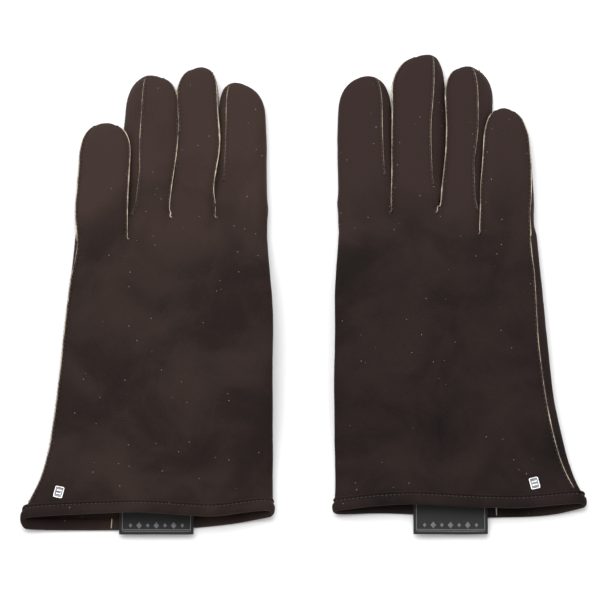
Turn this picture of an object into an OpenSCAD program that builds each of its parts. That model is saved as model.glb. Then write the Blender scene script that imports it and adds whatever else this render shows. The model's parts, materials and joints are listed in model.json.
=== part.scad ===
// Pair of unlined leather dress gloves. They lie back up on a table, side by side, with
// the fingers up the table (+Y) and each empty thumb folded under its palm.
// Each glove is drawn in its own frame: x runs from the little finger to the index finger,
// y from the cuff's palm edge to the fingertips, and z up from the table.

/* [Leather] */
// Thickness of the glove leather
leather_t = 0.9; // [0.7:0.1:1.1]
// Radius of the sewing thread, laid along a seam
thread_r = 0.2; // [0.15:0.05:0.3]

/* [Hand] */
// Distance from the middle of the pair to the middle of each palm
pair_half = 82.5; // [80:0.5:100]
// How far the right glove lies further up the table than the left one
right_shift = 7.5; // [0:0.5:20]
// Height of the empty hand between its back and its palm
hand_h = 13; // [12:0.5:16]
// How much wider the little-finger side is at the wrist than at the knuckles
hand_taper = 16; // [12:1:18]
// Extra width of the little-finger side where the cuff flares
cuff_flare = 13; // [8:1:16]
// How far the back of the cuff stops short of its palm edge
back_short = 5; // [3:0.5:7]

/* [Fingers] */
// Height of a finger at its root
finger_h = 12; // [11.5:0.5:13]
// Height of a finger just before its rounded tip
tip_h = 9.5; // [9:0.5:11]
// Clear space between neighbouring fingers
finger_gap = 0.8; // [0.6:0.1:1.2]
// How much of a finger's root slopes away from the hand, as a share of its height
root_rake = 0.3; // [0.28:0.01:0.4]

/* [Thumb] */
// Thickness of the empty thumb under the palm
thumb_h = 9; // [8:0.5:9.5]
// Space that the palm leaves above the thumb
thumb_clearance = 1.6; // [1.4:0.2:2.4]

/* [Trim] */
// Width of the leather binding round the cuff
binding_w = 6; // [5:0.5:8]
// Width of the woven label
label_w = 39.5; // [36:0.5:42]
// Length of the woven label
label_l = 19; // [16:1:24]
// Thickness of the woven label
label_t = 0.4; // [0.3:0.1:0.5]
// Width of the silver plate near the cuff
plate_w = 5.2; // [4:0.2:6]
// Length of the silver plate near the cuff
plate_l = 6.6; // [5:0.2:8]
// Thickness of the silver plate
plate_t = 0.6; // [0.4:0.1:0.8]

/* [Hidden] */

hide = "#3d302d";
edge = "#c8b48c";
thread = "#2b211f";
cloth = "#38383a";
silver = "#d8d8dc";

left = 0;
right = 1;

// Where the glove's parts meet, from the little finger's outer side to the index finger's,
// at the finger roots and near the tips: one row for each glove.
root_edges = [[-38.7, -11, 12.3, 36.1, 62.4], [-39.5, -10.8, 11.7, 36.7, 63]];
tip_edges = [[-36, -9.4, 15.6, 38.2, 61.5], [-35.5, -12.4, 8, 36, 63.4]];
// How far up the glove the fingers hinge and end: index, middle, ring, little.
hinge_y = [[172, 172, 172, 160], [170, 170, 170, 158]];
tip_y = [[247, 255.5, 251, 224], [243.5, 255.5, 249, 225.5]];
edge_ref_y = 235;
front_y = -129.9;
plate_x = [-46, -40];
plate_y = 19;
plate_lean = 14;

// The hand's length, and its sides at the knuckles and at the palm. The index side narrows
// from narrow_y to the knuckles, and the cuff's flare dies out over flare_reach.
hand_l = 160;
knuckle_low = -39;
knuckle_high = 63;
palm_high = 66;
narrow_y = 115;
flare_reach = 20;

// The oval section: how much of its width is flat, and how square its ends are.
flat_share = 0.45;
squareness = 3;
seam_angle = 25;
outseam_angle = 169;
// Clear space between pieces that touch, and between the hand and the finger roots.
skin = 0.12;
root_gap = 0.4;

// The palm rises over the folded thumb between these places, and falls again.
thumb_lift = thumb_h + thumb_clearance;
rise_x = [-8, 17];
rise_y = [38, 60];
fall_y = [140, 169];
// The hole where the thumb is sewn in: two circles, each [x, y, radius].
thumb_hole = [[45, 88, 10], [49, 104, 9]];

label_x = 4.5;
label_out = 2.5;
label_z = 3.2 * leather_t + skin;
plate_corner = 0.5;

// A smooth step from 0 to 1 as v goes from one value to another.
function smooth(v, from, to) =
    let (t = min(1, max(0, (v - from) / (to - from)))) t * t * (3 - 2 * t);
function between(a, b, t) = a + (b - a) * t;
function spread(from, to, n) = [for (k = [0:n]) between(from, to, k / n)];
function flatten(lists) = [for (l = lists) for (item = l) item];

// A flattened oval of half width and half height 1, flat across its middle, top and bottom.
function oval(angle) =
    let (
        reach = abs(cos(angle)),
        turn = min(1, max(0, reach - flat_share) / (1 - flat_share))
    )
    [cos(angle), sign(sin(angle)) * pow(1 - pow(turn, squareness), 1 / squareness)];

// A tube's row is [low side, high side, lowest z, height, slope of y with z].
function tube_point(row, angle, depth) =
    let (
        middle = (row[0] + row[1]) / 2,
        half = norm(row[1] - row[0]) / 2,
        along = (row[1] - row[0]) / (2 * half),
        o = oval(angle),
        across = o[0] * (half - depth),
        rise = row[3] / 2 + o[1] * (row[3] / 2 - depth)
    )
    [
        middle[0] + along[0] * across,
        middle[1] + along[1] * across + row[4] * rise,
        row[2] + rise
    ];

// The hand's two sides, its lowest z and its height at a distance y from the palm edge.
// The cuff stands clear of the table by the binding round it, and lies a little lower.
cuff_clear = 1.2 * leather_t;
cuff_low = 1;
knuckle_sink = 0.6;
function hand_low(y) =
    knuckle_low - hand_taper * (1 - y / hand_l) - cuff_flare * exp(-y / flare_reach);
function hand_high(y) = between(palm_high, knuckle_high, smooth(y, narrow_y, hand_l));
function hand_row(y, rake = 0) =
    [[hand_low(y), y], [hand_high(y), y], cuff_clear * (1 - smooth(y, 10, 40)),
     hand_h - cuff_low * (1 - smooth(y, 20, 60)) - knuckle_sink * smooth(y, 140, 170), rake];

function lift(x, y) =
    thumb_lift * smooth(x, rise_x[0], rise_x[1]) * smooth(y, rise_y[0], rise_y[1])
        * (1 - smooth(y, fall_y[0], fall_y[1]));

// The hand's rows. The binding covers the first of them.
cuff_step = 8;
hand_ys = [0, cuff_step, 20, 36, 48, 60, 84, 110, 138, 150, hand_l];

// Where the hand ends under each finger's root.
function hand_end(glove, x) =
    (x < root_edges[glove][1] ? hinge_y[glove][3] : hinge_y[glove][0]) - root_gap;

function hand_point(glove, y, angle, depth) =
    let (p = tube_point(hand_row(y, y < 1 ? back_short / hand_h : 0), angle, depth))
    [p[0], p[1], p[2] + lift(p[0], p[1])];

// A point on the cuff, a distance y up from its edge, or past the edge where y is negative.
function cuff_point(glove, angle, depth, y) =
    let (edge_point = hand_point(glove, 0, angle, depth))
    y < 0 ? edge_point + [0, y, 0]
        : between(edge_point, hand_point(glove, cuff_step, angle, depth), y / cuff_step);

function hand_end_point(glove, angle, depth) =
    let (row = hand_row(hand_l), p = tube_point(row, angle, depth), outer = tube_point(row, angle, 0))
    [p[0], hand_end(glove, outer[0]), p[2]];

// Columns across the hand, with one on each side of the step beside the little finger.
function knuckle_share(x) =
    (2 * x - knuckle_low - knuckle_high) / (knuckle_high - knuckle_low);
function hand_shares(glove) =
    let (step = root_edges[glove][1])
    [1, 0.98, 0.92, 0.8, 0.65, 0.5, 0.3, 0.1, -0.1, -0.26, -0.36,
     knuckle_share(step + 0.6), knuckle_share(step - 0.25), -0.6, -0.75, -0.88, -0.95];
function back_angles(glove) = concat([for (v = hand_shares(glove)) acos(v)], [outseam_angle]);
function palm_angles(glove) =
    let (shares = hand_shares(glove), n = len(shares))
    concat([outseam_angle, 180], [for (k = [1:n]) 360 - acos(shares[n - k])]);

function hand_grid(glove, angles, depth) =
    concat(
        [for (y = hand_ys) if (y < hand_l) [for (a = angles) hand_point(glove, y, a, depth)]],
        [[for (a = angles) hand_end_point(glove, a, depth)]]
    );

// A finger's rows: a raked root, a straight stretch past the hinge, and a rounded tip.
tip_turns = [0, 30, 52, 70, 82, 90];
tip_round = 0.52;
straight_l = 15;
function finger_side(glove, side, y) =
    let (root_y = hinge_y[glove][0] + straight_l)
    between(root_edges[glove][side], tip_edges[glove][side],
            min(1, max(0, (y - root_y) / (edge_ref_y - root_y))));
function finger_row(glove, f, y, turn = 0, rake = 0) =
    let (
        low = finger_side(glove, 3 - f, y) + finger_gap / 2,
        high = finger_side(glove, 4 - f, y) - finger_gap / 2,
        centre = (low + high) / 2,
        least = leather_t + skin,
        half = between(least, (high - low) / 2, cos(turn)),
        full = between(finger_h, tip_h, smooth(y, hinge_y[glove][f], tip_y[glove][f]))
    )
    [[centre - half, y], [centre + half, y], 0, between(2 * least, full, sqrt(cos(turn))), rake];
function finger_rows(glove, f) =
    let (
        y0 = hinge_y[glove][f],
        y1 = tip_y[glove][f],
        round_l = (tip_edges[glove][4 - f] - tip_edges[glove][3 - f]) * tip_round
    )
    concat(
        [finger_row(glove, f, y0 + root_gap, 0, root_rake)],
        [for (y = [y0 + straight_l, between(y0 + straight_l, y1 - round_l, 0.5)])
            finger_row(glove, f, y)],
        [for (turn = tip_turns) finger_row(glove, f, y1 - round_l + round_l * sin(turn), turn)]
    );

// The thumb's rows go from its fold along the index side to its tip under the palm.
thumb_rows = [
    [[62.5, 66], [62.5, 118], 0, thumb_h, 0],
    [[48, 77], [61, 120], 0, thumb_h, 0],
    [[36, 92], [57.5, 126], 0, thumb_h, 0],
    [[27, 110], [51.5, 134], 0, thumb_h, 0],
    [[21.5, 126], [44.5, 142], 0, thumb_h * 0.94, 0],
    [[21, 138], [36.5, 148.5], 0, thumb_h * 0.8, 0],
    [[24.5, 146], [30, 149.5], 0, thumb_h * 0.5, 0],
    [[27.2, 149.2], [29.1, 150.4], 0, 2 * leather_t + 0.1, 0]
];
thumb_mouth_rows = 3;

function tube_grid(rows, angles, depth) =
    [for (row = rows) [for (a = angles) tube_point(row, a, depth)]];

function quad(a, b, c, d) = [[a, b, c], [a, c, d]];

// A closed sheet of leather between two grids of points with the same rows and columns.
module sheet(outer, inner) {
    n = len(outer);
    m = len(outer[0]);
    far = n * m;
    faces = flatten(concat(
        [for (i = [0:n - 2]) for (j = [0:m - 2]) let (k = i * m + j)
            quad(k, k + 1, k + m + 1, k + m)],
        [for (i = [0:n - 2]) for (j = [0:m - 2]) let (k = far + i * m + j)
            quad(k, k + m, k + m + 1, k + 1)],
        [for (i = [0:n - 2]) let (k = i * m) quad(k, k + m, far + k + m, far + k)],
        [for (i = [0:n - 2]) let (k = i * m + m - 1) quad(k + m, k, far + k, far + k + m)],
        [for (j = [0:m - 2]) quad(j + 1, j, far + j, far + j + 1)],
        [for (j = [0:m - 2]) let (k = (n - 1) * m + j) quad(k, k + 1, far + k + 1, far + k)]
    ));
    polyhedron(concat(flatten(outer), flatten(inner)), faces);
}

// A thread along a list of points, with a square section that turns with the path.
module stitched_thread(path) {
    n = len(path);
    rings = [for (i = [0:n - 1])
        let (
            way = path[min(n - 1, i + 1)] - path[max(0, i - 1)],
            side = cross(way, [0, 0, 1]),
            across = side / norm(side),
            up = cross(across, way) / norm(way)
        )
        [for (a = [0:90:270]) path[i] + thread_r * (across * cos(a) + up * sin(a))]
    ];
    last = 4 * (n - 1);
    faces = concat(
        flatten([for (i = [0:n - 2]) for (j = [0:3]) let (k = 4 * i, q = (j + 1) % 4)
            quad(k + j, k + 4 + j, k + 4 + q, k + q)]),
        quad(0, 1, 2, 3),
        quad(last + 3, last + 2, last + 1, last)
    );
    polyhedron(flatten(rings), faces);
}

// The plate rests on the highest leather beneath it, at its edge nearest the glove's middle.
function plate_z(glove) =
    let (
        y = plate_y - plate_l / 2,
        row = hand_row(y),
        middle = (row[0][0] + row[1][0]) / 2,
        half = (row[1][0] - row[0][0]) / 2,
        share = (plate_x[glove] + plate_w / 2 + 2 * plate_corner - middle) / half
    )
    hand_point(glove, y, acos(share), -2 * skin)[2];

// A seam's thread lies just off the leather and stops short of the closed tip.
tip_rows_free = 3;
function seam_path(rows, angle) =
    [for (i = [0:len(rows) - 1 - tip_rows_free]) tube_point(rows[i], angle, -thread_r - 2 * skin)];

// A glove's own frame on the table.
module place(glove) {
    if (glove == left) translate([-pair_half, front_y, 0]) children();
    else translate([pair_half, front_y + right_shift, 0]) mirror([1, 0, 0]) children();
}

module hand_back(glove) {
    angles = back_angles(glove);
    color(hide) place(glove) sheet(hand_grid(glove, angles, 0), hand_grid(glove, angles, leather_t));
}

// The palm has an oval hole where the thumb is sewn in.
module hand_palm(glove) {
    angles = palm_angles(glove);
    color(hide) place(glove) difference() {
        sheet(hand_grid(glove, angles, 0), hand_grid(glove, angles, leather_t));
        translate([0, 0, thumb_lift - 3]) hull()
            for (c = thumb_hole) translate([c[0], c[1], 0]) cylinder(r = c[2], h = 8, $fn = 24);
    }
}

// The binding wraps the cuff's edge: its section goes up the outside, round the edge and
// up the inside of the hand leather.
module cuff_binding(glove) {
    t = leather_t;
    section = [[-t, binding_w], [-t, -t], [2 * t, -t], [2 * t, binding_w],
        [t + skin, binding_w], [t + skin, -skin], [-skin, -skin], [-skin, binding_w]];
    angles = concat(back_angles(glove), [for (a = palm_angles(glove)) if (a > 170 && a < 359) a]);
    n = len(angles);
    m = len(section);
    points = [for (a = angles) for (s = section) cuff_point(glove, a, s[0], s[1])];
    faces = flatten([for (i = [0:n - 1]) for (j = [0:m - 1])
        let (i2 = (i + 1) % n, j2 = (j + 1) % m)
        quad(i * m + j, i * m + j2, i2 * m + j2, i2 * m + j)]);
    color(hide) place(glove) polyhedron(points, faces);
}

module label(glove) {
    color(cloth) place(glove)
        translate([label_x - label_w / 2, -leather_t - label_out, label_z])
            cube([label_w, label_l, label_t]);
}

module plate(glove) {
    color(silver) place(glove)
        translate([plate_x[glove], plate_y, plate_z(glove)])
            rotate([0, 0, -plate_lean])
                linear_extrude(height = plate_t)
                    offset(r = plate_corner, $fn = 16)
                        square([plate_w - 2 * plate_corner, plate_l - 2 * plate_corner], center = true);
}

module outseam_thread(glove) {
    angle = outseam_angle;
    depth = -thread_r - 2 * skin;
    path = concat(
        [for (y = hand_ys) if (y > cuff_step && y < hand_l) hand_point(glove, y, angle, depth)],
        [hand_end_point(glove, angle, depth)]
    );
    color(edge) place(glove) stitched_thread(path);
}

module hem_thread(glove) {
    depth = -leather_t - thread_r - skin;
    angles = [for (a = concat(back_angles(glove), [outseam_angle + 1])) if (a > 0) a];
    path = [for (a = angles) cuff_point(glove, a, depth, binding_w - 1)];
    color(thread) place(glove) stitched_thread(path);
}

module label_thread(glove) {
    z = label_z + label_t + thread_r + skin;
    y = label_l - leather_t - label_out - 1;
    ends = [label_x - label_w / 2 + 1, label_x + label_w / 2 - 1];
    color(thread) place(glove)
        stitched_thread([for (x = spread(ends[0], ends[1], 6)) [x, y, z]]);
}

// The index finger's leather wraps from its back seam round its outer side to its palm seam.
module index_wrap(glove) {
    rows = finger_rows(glove, 0);
    top = spread(55, 180 - seam_angle, 4);
    angles = concat([for (k = [0:4]) -top[4 - k]], spread(-seam_angle, seam_angle, 4), top);
    color(hide) place(glove) sheet(tube_grid(rows, angles, 0), tube_grid(rows, angles, leather_t));
}

module finger_panel(glove, f, angles) {
    rows = finger_rows(glove, f);
    color(hide) place(glove) sheet(tube_grid(rows, angles, 0), tube_grid(rows, angles, leather_t));
}

high_side = spread(-seam_angle, seam_angle, 4);
low_side = spread(180 - seam_angle, 180 + seam_angle, 4);

module finger_back(glove, f) {
    end = f == 3 ? outseam_angle : 180 - seam_angle;
    finger_panel(glove, f, spread(seam_angle, end, 6));
}

module finger_palm(glove, f) {
    start = f == 3 ? outseam_angle : 180 + seam_angle;
    finger_panel(glove, f, spread(start, 360 - seam_angle, 6));
}

// Threads along a finger's seams. The index finger has them on its inner side only, and the
// little finger has its outseam on the outer side.
module finger_thread(glove, f) {
    rows = finger_rows(glove, f);
    seams = [
        [180 - seam_angle, 180 + seam_angle],
        [seam_angle, -seam_angle, 180 - seam_angle, 180 + seam_angle],
        [seam_angle, -seam_angle, 180 - seam_angle, 180 + seam_angle],
        [seam_angle, -seam_angle, outseam_angle]
    ];
    color(edge) place(glove) for (a = seams[f]) stitched_thread(seam_path(rows, a));
}

// The thumb is one folded piece. Its outer half faces the table, and its inner half faces
// the palm and starts past the hole where the thumb opens into the hand.
module thumb_outer(glove) {
    angles = spread(175, 365, 10);
    color(hide) place(glove)
        sheet(tube_grid(thumb_rows, angles, 0), tube_grid(thumb_rows, angles, leather_t));
}

module thumb_inner(glove) {
    rows = [for (i = [thumb_mouth_rows:len(thumb_rows) - 1]) thumb_rows[i]];
    angles = spread(5, 175, 8);
    color(hide) place(glove) sheet(tube_grid(rows, angles, 0), tube_grid(rows, angles, leather_t));
}

module thumb_thread(glove) {
    rows = [for (i = [1:len(thumb_rows) - 1]) thumb_rows[i]];
    color(edge) place(glove) stitched_thread(seam_path(rows, 175));
}

// Every piece of one glove, by the name that follows left_ or right_.
module piece(glove, name) {
    if (name == "hand_back") hand_back(glove);
    if (name == "hand_palm") hand_palm(glove);
    if (name == "cuff_binding") cuff_binding(glove);
    if (name == "label") label(glove);
    if (name == "plate") plate(glove);
    if (name == "outseam_thread") outseam_thread(glove);
    if (name == "hem_thread") hem_thread(glove);
    if (name == "label_thread") label_thread(glove);
    if (name == "index_wrap") index_wrap(glove);
    if (name == "index_fourchette") finger_panel(glove, 0, low_side);
    if (name == "index_thread") finger_thread(glove, 0);
    if (name == "middle_back") finger_back(glove, 1);
    if (name == "middle_palm") finger_palm(glove, 1);
    if (name == "middle_fourchette_index") finger_panel(glove, 1, high_side);
    if (name == "middle_fourchette_ring") finger_panel(glove, 1, low_side);
    if (name == "middle_thread") finger_thread(glove, 1);
    if (name == "ring_back") finger_back(glove, 2);
    if (name == "ring_palm") finger_palm(glove, 2);
    if (name == "ring_fourchette_middle") finger_panel(glove, 2, high_side);
    if (name == "ring_fourchette_little") finger_panel(glove, 2, low_side);
    if (name == "ring_thread") finger_thread(glove, 2);
    if (name == "little_back") finger_back(glove, 3);
    if (name == "little_palm") finger_palm(glove, 3);
    if (name == "little_fourchette") finger_panel(glove, 3, high_side);
    if (name == "little_thread") finger_thread(glove, 3);
    if (name == "thumb_outer") thumb_outer(glove);
    if (name == "thumb_inner") thumb_inner(glove);
    if (name == "thumb_thread") thumb_thread(glove);
}

piece(left, "hand_back");  // left_hand_back
piece(left, "hand_palm");  // left_hand_palm
piece(left, "cuff_binding");  // left_cuff_binding
piece(left, "label");  // left_label
piece(left, "plate");  // left_plate
piece(left, "outseam_thread");  // left_outseam_thread
piece(left, "hem_thread");  // left_hem_thread
piece(left, "label_thread");  // left_label_thread
piece(left, "index_wrap");  // left_index_wrap
piece(left, "index_fourchette");  // left_index_fourchette
piece(left, "index_thread");  // left_index_thread
piece(left, "middle_back");  // left_middle_back
piece(left, "middle_palm");  // left_middle_palm
piece(left, "middle_fourchette_index");  // left_middle_fourchette_index
piece(left, "middle_fourchette_ring");  // left_middle_fourchette_ring
piece(left, "middle_thread");  // left_middle_thread
piece(left, "ring_back");  // left_ring_back
piece(left, "ring_palm");  // left_ring_palm
piece(left, "ring_fourchette_middle");  // left_ring_fourchette_middle
piece(left, "ring_fourchette_little");  // left_ring_fourchette_little
piece(left, "ring_thread");  // left_ring_thread
piece(left, "little_back");  // left_little_back
piece(left, "little_palm");  // left_little_palm
piece(left, "little_fourchette");  // left_little_fourchette
piece(left, "little_thread");  // left_little_thread
piece(left, "thumb_outer");  // left_thumb_outer
piece(left, "thumb_inner");  // left_thumb_inner
piece(left, "thumb_thread");  // left_thumb_thread
piece(right, "hand_back");  // right_hand_back
piece(right, "hand_palm");  // right_hand_palm
piece(right, "cuff_binding");  // right_cuff_binding
piece(right, "label");  // right_label
piece(right, "plate");  // right_plate
piece(right, "outseam_thread");  // right_outseam_thread
piece(right, "hem_thread");  // right_hem_thread
piece(right, "label_thread");  // right_label_thread
piece(right, "index_wrap");  // right_index_wrap
piece(right, "index_fourchette");  // right_index_fourchette
piece(right, "index_thread");  // right_index_thread
piece(right, "middle_back");  // right_middle_back
piece(right, "middle_palm");  // right_middle_palm
piece(right, "middle_fourchette_index");  // right_middle_fourchette_index
piece(right, "middle_fourchette_ring");  // right_middle_fourchette_ring
piece(right, "middle_thread");  // right_middle_thread
piece(right, "ring_back");  // right_ring_back
piece(right, "ring_palm");  // right_ring_palm
piece(right, "ring_fourchette_middle");  // right_ring_fourchette_middle
piece(right, "ring_fourchette_little");  // right_ring_fourchette_little
piece(right, "ring_thread");  // right_ring_thread
piece(right, "little_back");  // right_little_back
piece(right, "little_palm");  // right_little_palm
piece(right, "little_fourchette");  // right_little_fourchette
piece(right, "little_thread");  // right_little_thread
piece(right, "thumb_outer");  // right_thumb_outer
piece(right, "thumb_inner");  // right_thumb_inner
piece(right, "thumb_thread");  // right_thumb_thread
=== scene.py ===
import json
import math

import bpy
import numpy as np
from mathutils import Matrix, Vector, noise


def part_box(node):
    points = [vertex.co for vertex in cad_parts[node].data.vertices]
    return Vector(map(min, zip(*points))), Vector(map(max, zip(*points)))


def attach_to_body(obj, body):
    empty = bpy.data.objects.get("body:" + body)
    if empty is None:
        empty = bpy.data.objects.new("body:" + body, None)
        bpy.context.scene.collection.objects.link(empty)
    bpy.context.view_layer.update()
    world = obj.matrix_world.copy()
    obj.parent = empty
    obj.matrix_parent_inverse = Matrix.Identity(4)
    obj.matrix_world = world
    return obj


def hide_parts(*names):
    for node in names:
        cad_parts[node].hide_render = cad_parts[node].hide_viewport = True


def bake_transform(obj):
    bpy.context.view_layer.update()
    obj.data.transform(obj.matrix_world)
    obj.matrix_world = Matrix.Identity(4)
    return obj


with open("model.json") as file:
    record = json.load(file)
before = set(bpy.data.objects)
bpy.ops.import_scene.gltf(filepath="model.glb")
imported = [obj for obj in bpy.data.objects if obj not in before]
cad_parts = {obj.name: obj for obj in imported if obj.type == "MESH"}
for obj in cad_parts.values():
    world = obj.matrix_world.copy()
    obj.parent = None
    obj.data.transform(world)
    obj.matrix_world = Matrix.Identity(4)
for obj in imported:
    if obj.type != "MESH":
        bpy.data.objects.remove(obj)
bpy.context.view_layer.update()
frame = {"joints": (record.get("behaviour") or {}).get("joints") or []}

mm = 0.001
sides = ("left", "right")
fingers = ("little", "ring", "middle", "index")  # from the glove's outer side to its thumb side
joints = {j["name"]: j for j in frame["joints"]}

# strips of mesh across a finger, round a finger's side, along the hand, a finger and a tip
cuts = {"across": 10, "side": 6, "hand": 64, "finger": 26, "tip": 9, "thumb": 34}

# the hand, in millimetres from the cuff's palm edge: how high it lies, how its outer side
# flares to the cuff, how far the outer seam lies in on its back, and where the hems run
hand = {
    "height": 12.5, "cuffHeight": {"left": 11.5, "right": 9.5}, "sag": 1.3,
    "knuckle": {"left": 40.2, "right": 42.2}, "taper": {"left": 14.6, "right": 12.2},
    "flare": {"left": 18.6, "right": 17.6}, "flareReach": {"left": 19.0, "right": 26.0},
    "thumbSide": 66.0, "knuckleThumbSide": 63.0, "foldInset": 1.4,
    "rim": 0.9, "wrapEdge": 0.4, "mouthLift": 1.1, "endDrop": (3, 2),
    "hemHalf": 65, "rootFrom": 0.85, "rootReach": 16,
    "crotchDrop": {"left": 1.5, "right": 4.0}, "borderShift": (0, -1.3, -1.7, -1.4, 0),
    "outseamInset": {
        "left": [(0, 0.5), (224, 0.5)],
        "right": [(0, 2.0), (11, 3.2), (24, 4.4), (64, 4.9), (94, 5.2), (120, 4.0), (163, 2.6), (176, 1.7),
                  (194, 0.5)]},
    "palmHem": {
        "left": [(-66, 0), (-20, 0.2), (20, 1), (45, 3.4), (64, 6.6)],
        "right": [(-66, 4.5), (-52, 1.2), (-38, 0), (-5, -0.6), (25, 1.5), (45, 2), (66, 0.5)]},
    "backHem": {
        "left": [(-66, 5), (-30, 6.5), (-5, 7.5), (25, 5.5), (36, 4.7), (50, 7.2), (66, 9.5)],
        "right": [(-66, 6), (-50, 4), (-32, 2.4), (-10, 3), (25, 4.9), (45, 3.8), (64, 1.8)]},
}

# the fingers: where both edges of each lie at four distances from the cuff, and how far
# the back's seam lies in from each edge there
finger = {
    "stations": (176, 190, 212, 236), "rootHeight": 12.0, "tipHeight": 9.6, "gap": -0.7,
    "outer": {
        "left": {"little": (-40.0, -38.8, -37.2, -36.0), "ring": (-11.2, -12.8, -15.4, -13.0),
                 "middle": (12.0, 13.0, 15.2, 14.2), "index": (34.0, 35.8, 38.1, 36.4)},
        "right": {"little": (-41.2, -40.0, -38.2, -37.0), "ring": (-12.6, -15.4, -19.4, -19.8),
                  "middle": (8.0, 5.8, 4.7, 6.2), "index": (34.8, 34.6, 34.8, 35.4)}},
    "inner": {
        "left": {"little": (-12.3, -11.8, -10.8, -11.0), "ring": (10.0, 11.7, 15.1, 15.1),
                 "middle": (33.0, 35.4, 38.4, 36.2), "index": (62.2, 62.3, 62.6, 61.6)},
        "right": {"little": (-12.8, -14.0, -15.2, -16.0), "ring": (8.4, 6.4, 5.2, 6.4),
                  "middle": (34.6, 34.6, 34.6, 34.5), "index": (63.4, 64.0, 64.0, 63.2)}},
    "outerInset": {
        "left": {"ring": (4.0, 7.6, 11.2, 10.6), "middle": (2.6, 2.2, 1.2, 1.0),
                 "index": (4.6, 4.6, 3.0, 4.8)},
        "right": {"ring": (3.6, 7.0, 10.4, 10.0), "middle": (5.4, 8.4, 10.0, 6.2),
                  "index": (3.2, 5.2, 5.8, 5.2)}},
    "innerInset": {
        "left": {"little": (0.6, 0.6, 0.6, 0.6), "ring": (0.9, 0.8, 0.7, 0.9),
                 "middle": (1.2, 1.8, 1.1, 1.1)},
        "right": {"little": (0.6, 0.6, 0.6, 0.6), "ring": (0.6, 0.8, 0.8, 0.9),
                  "middle": (0.6, 0.6, 0.6, 0.7)}},
    "tipLean": {
        "left": {"little": -0.6, "ring": -1.6, "middle": 2.0, "index": -3.6},
        "right": {"little": 0.6, "ring": 0.8, "middle": -5.5, "index": -1.8}},
    "round": {"left": {"little": 17.5, "ring": 17.5, "middle": 16.5, "index": 18.0},
              "right": {"little": 18.0, "ring": 18.0, "middle": 21.0, "index": 18.0}},
    "palmInset": 1.6, "insetReach": (0.36, 0.96), "rootReach": 0.93, "rootFull": 0.8, "settle": 20,
    "tipTurn": 78.0, "turnPower": 0.9, "shrink": 0.85, "crown": 0.9, "thinning": 0.55, "tipLift": 0.42,
    "tuck": 0.85, "overlap": 2.4, "crotchDip": 0.9,
}

thumbFold = {"lift": 10.4, "from": (-24, 26), "rise": (22, 76), "fall": (124, 174)}


def smooth(value, start, end):
    share = np.clip((value - start) / (end - start), 0, 1)
    return share * share * (3 - 2 * share)


def mix(a, b, share):
    return a + (b - a) * share


def softCurve(points, x, reach=6):  # a line through a few points, with its corners rounded
    xs, ys = np.array(points, float).T
    steps = np.linspace(-reach, reach, 5)
    return sum(np.interp(np.asarray(x, float) + step, xs, ys) for step in steps) / len(steps)


flatShare, roundness = 0.35, 2.6


def ovalHeight(reach):  # height of a flattened oval at a share of its half width
    turn = np.clip((np.abs(reach) - flatShare) / (1 - flatShare), 0, 1)
    return (1 - turn ** roundness) ** (1 / roundness)


def ovalTurn(reach):  # the angle round the oval's end at a share of its half width
    turn = np.clip((reach - flatShare) / (1 - flatShare), 0, 1)
    return np.arccos(turn ** (roundness / 2))


def ovalEnd(angle):  # share of half width and of half height at an angle round the end
    power = 2 / roundness
    across = flatShare + (1 - flatShare) * np.cos(angle) ** power
    return across, np.sign(np.sin(angle)) * np.abs(np.sin(angle)) ** power


def layOut(side):  # where the frame puts one glove, in metres, and its finger roots in millimetres
    mirror = 1 if side == "left" else -1
    low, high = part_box(f"{side}_hand_back")
    fold = high.x if side == "left" else low.x
    glove = {"side": side, "mirror": mirror, "x": fold - mirror * hand["thumbSide"] * mm}
    glove["y"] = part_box(f"{side}_cuff_binding")[0].y + hand["rim"] * mm
    curls = [joints[f"{side}_{name}_curl"]["pos_m"] for name in fingers]
    middles = [mirror * (c[0] - glove["x"]) / mm for c in curls]
    glove["hinge"] = dict(zip(fingers, [(c[1] - glove["y"]) / mm for c in curls]))
    low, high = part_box(f"{side}_index_wrap")
    edge = max(mirror * (low.x - glove["x"]), mirror * (high.x - glove["x"])) / mm + hand["wrapEdge"]
    borders = [edge]
    for middle in reversed(middles):
        borders.insert(0, 2 * middle - borders[0])
    glove["borders"] = [b + s for b, s in zip(borders, hand["borderShift"])]
    glove["tip"] = {}
    for name in fingers:
        node = f"{side}_index_wrap" if name == "index" else f"{side}_{name}_back"
        glove["tip"][name] = (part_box(node)[1].y - glove["y"]) / mm
    hinges = list(glove["hinge"].values())
    crotches = [min(a, b) - hand["crotchDrop"][side] for a, b in zip(hinges, hinges[1:])]
    glove["roots"] = [crotches[0] - hand["endDrop"][0]] + crotches + [crotches[-1] - hand["endDrop"][1]]
    return glove


def outerSide(glove, y):  # the hand's little-finger side
    side = glove["side"]
    flare = hand["flare"][side] * np.exp(-np.maximum(y, 8.5) / hand["flareReach"][side])
    return -(hand["knuckle"][side] + hand["taper"][side] * (1 - y / 160) + flare)


def thumbSide(y):
    return mix(hand["thumbSide"], hand["knuckleThumbSide"], smooth(y, 115, 165))


def liftOverThumb(x, y):
    rise = smooth(x, *thumbFold["from"]) * smooth(y, *thumbFold["rise"])
    return thumbFold["lift"] * rise * (1 - smooth(y, *thumbFold["fall"]))


def handHeight(glove, y):
    return mix(hand["cuffHeight"][glove["side"]], hand["height"], smooth(y, 8, 60))


def handPoint(glove, x, y, level):  # level is 1 on the back, -1 on the palm, and between round a side
    low, high = outerSide(glove, y), thumbSide(y)
    reach = (2 * x - low - high) / (high - low)
    sag = hand["sag"] * (1 - reach ** 2) * smooth(y, 25, 80) * (1 - smooth(y, 130, 165))
    height = handHeight(glove, y) - sag * (level > 0)
    clear = hand["mouthLift"] * (1 - smooth(y, 10, 40))
    return np.stack([x, y, height / 2 * (1 + level) + clear + liftOverThumb(x, y)], axis=-1)


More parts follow.
